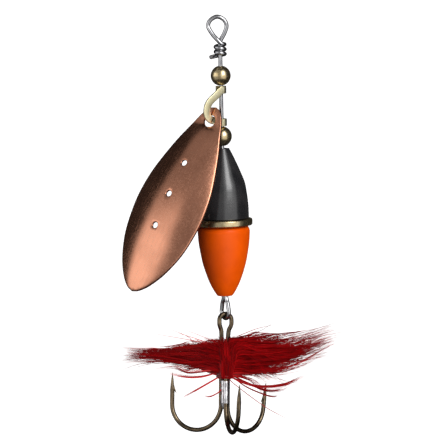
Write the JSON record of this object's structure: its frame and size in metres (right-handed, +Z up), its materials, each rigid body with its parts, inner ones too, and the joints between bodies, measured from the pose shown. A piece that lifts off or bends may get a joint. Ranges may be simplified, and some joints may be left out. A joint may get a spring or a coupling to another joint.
{
  "type": "inline spinner",
  "caption": "Inline spinner lure: wire shaft with line-tie loop, beads, clevis with a dished copper blade, black and orange turned body, and a hair-dressed treble hook.",
  "frame": {"origin": "inner top of the line-tie loop, on the shaft's axis, where the line pulls", "axes": "+Z up the shaft towards the line, -Y the front, with the blade hanging to the front left"},
  "size_m": [0.0427, 0.0198, 0.0846],
  "materials": {
    "steel_wire": "bright drawn wire",
    "bead_brass": "polished",
    "clevis_brass": "polished pale brass",
    "blade_copper": "copper plated, satin",
    "black_lacquer": "gloss lacquer",
    "orange_lacquer": "gloss lacquer",
    "hook_bronze": "bronzed hook wire",
    "silver_braze": "silver braze",
    "red_thread": "waxed thread",
    "red_hair": "dyed hair"
  },
  "bodies": {
    "shaft": {"wire_shaft": "steel_wire"},
    "upper_bead": {"upper_bead": "bead_brass"},
    "clevis": {"clevis": "clevis_brass"},
    "blade": {"blade": "blade_copper"},
    "lower_bead": {"lower_bead": "bead_brass"},
    "body": {"body_upper": "black_lacquer", "body_collar": "bead_brass", "body_lower": "orange_lacquer"},
    "treble": {"double_hook": "hook_bronze", "single_hook": "hook_bronze", "hook_braze": "silver_braze", "tying_thread": "red_thread", "hair_left": "red_hair", "hair_right": "red_hair", "hair_front": "red_hair", "hair_back": "red_hair", "hair_low_left": "red_hair", "hair_low_right": "red_hair"}
  },
  "joints": [
    {"name": "upper_bead_slide", "type": "slide", "parent": "shaft", "child": "upper_bead", "axis": [0, 0, 1], "range_m": [0, 0.001]},
    {"name": "clevis_spin", "type": "hinge", "parent": "shaft", "child": "clevis", "pos_m": [0, 0, -0.0179], "axis": [0, 0, 1], "continuous": true},
    {"name": "blade_swing", "type": "hinge", "parent": "clevis", "child": "blade", "pos_m": [-0.00142, -0.00188, -0.01835], "axis": [-0.5299, 0.848, 0], "range_deg": [-12, 45]},
    {"name": "lower_bead_spin", "type": "hinge", "parent": "shaft", "child": "lower_bead", "pos_m": [0, 0, -0.0234], "axis": [0, 0, 1], "continuous": true},
    {"name": "body_spin", "type": "hinge", "parent": "shaft", "child": "body", "pos_m": [0, 0, -0.04], "axis": [0, 0, 1], "continuous": true},
    {"name": "treble_swing", "type": "hinge", "parent": "shaft", "child": "treble", "pos_m": [0, 0, -0.06003], "axis": [0.5, -0.866, 0], "range_deg": [-70, 70]}
  ]
}
